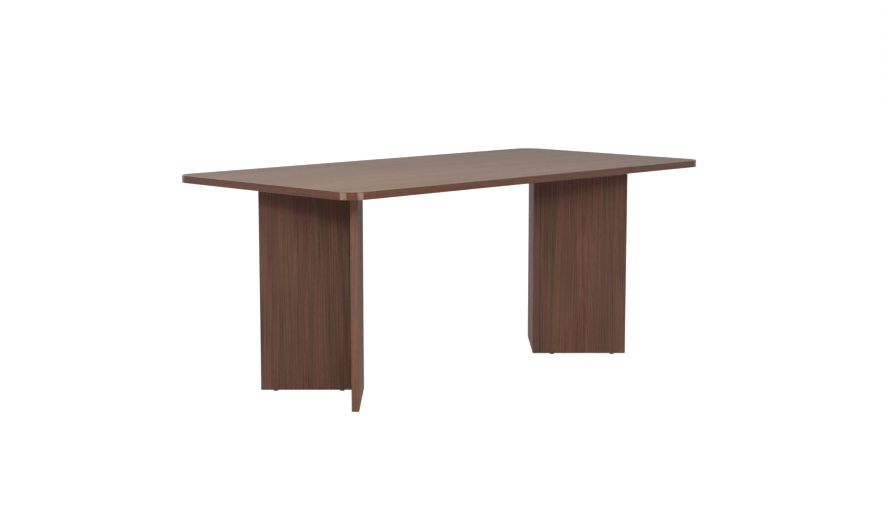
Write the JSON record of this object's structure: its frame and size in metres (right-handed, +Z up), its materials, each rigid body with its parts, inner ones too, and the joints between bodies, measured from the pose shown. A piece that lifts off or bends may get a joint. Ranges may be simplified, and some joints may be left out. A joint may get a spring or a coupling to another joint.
{
  "type": "dining table",
  "caption": "Rectangular dining table with a rounded-corner top on V-shaped legs made of upright panels, in a dark walnut finish, for people seated along its sides and ends.",
  "frame": {"origin": "on the floor, under the middle of the top", "axes": "+X along the top's length, +Y across its width, +Z up"},
  "size_m": [1.8, 0.9, 0.75],
  "materials": {
    "top_walnut": "satin walnut face on a fibreboard core, grain along the length",
    "leg_walnut": "satin walnut face on a fibreboard core, upright grain",
    "walnut_edging": "satin walnut edging strip, grain along the strip",
    "black_steel": "black powder coat",
    "zinc_steel": "bright zinc plated steel",
    "insert_zinc": "cast zinc alloy",
    "beech": "turned beech",
    "glide_plastic": "moulded dark brown plastic"
  },
  "bodies": {
    "root": {"top_board": "top_walnut", "top_edging": "walnut_edging", "left_through_panel": "leg_walnut", "left_through_free_edging": "walnut_edging", "left_through_bottom_edging": "walnut_edging", "left_through_apex_edging": "walnut_edging", "left_through_bracket": "black_steel", "left_through_bracket_screws": "zinc_steel", "left_through_bracket_bolts": "zinc_steel", "left_through_bracket_washers": "zinc_steel", "left_through_inserts": "insert_zinc", "left_through_glides": "glide_plastic", "left_through_glide_nails": "zinc_steel", "left_butt_panel": "leg_walnut", "left_butt_free_edging": "walnut_edging", "left_butt_bottom_edging": "walnut_edging", "left_butt_bracket": "black_steel", "left_butt_bracket_screws": "zinc_steel", "left_butt_bracket_bolts": "zinc_steel", "left_butt_bracket_washers": "zinc_steel", "left_butt_inserts": "insert_zinc", "left_butt_glides": "glide_plastic", "left_butt_glide_nails": "zinc_steel", "right_through_panel": "leg_walnut", "right_through_free_edging": "walnut_edging", "right_through_bottom_edging": "walnut_edging", "right_through_apex_edging": "walnut_edging", "right_through_bracket": "black_steel", "right_through_bracket_screws": "zinc_steel", "right_through_bracket_bolts": "zinc_steel", "right_through_bracket_washers": "zinc_steel", "right_through_inserts": "insert_zinc", "right_through_glides": "glide_plastic", "right_through_glide_nails": "zinc_steel", "right_butt_panel": "leg_walnut", "right_butt_free_edging": "walnut_edging", "right_butt_bottom_edging": "walnut_edging", "right_butt_bracket": "black_steel", "right_butt_bracket_screws": "zinc_steel", "right_butt_bracket_bolts": "zinc_steel", "right_butt_bracket_washers": "zinc_steel", "right_butt_inserts": "insert_zinc", "right_butt_glides": "glide_plastic", "right_butt_glide_nails": "zinc_steel", "left_corner_dowels": "beech", "right_corner_dowels": "beech"}
  },
  "joints": []
}
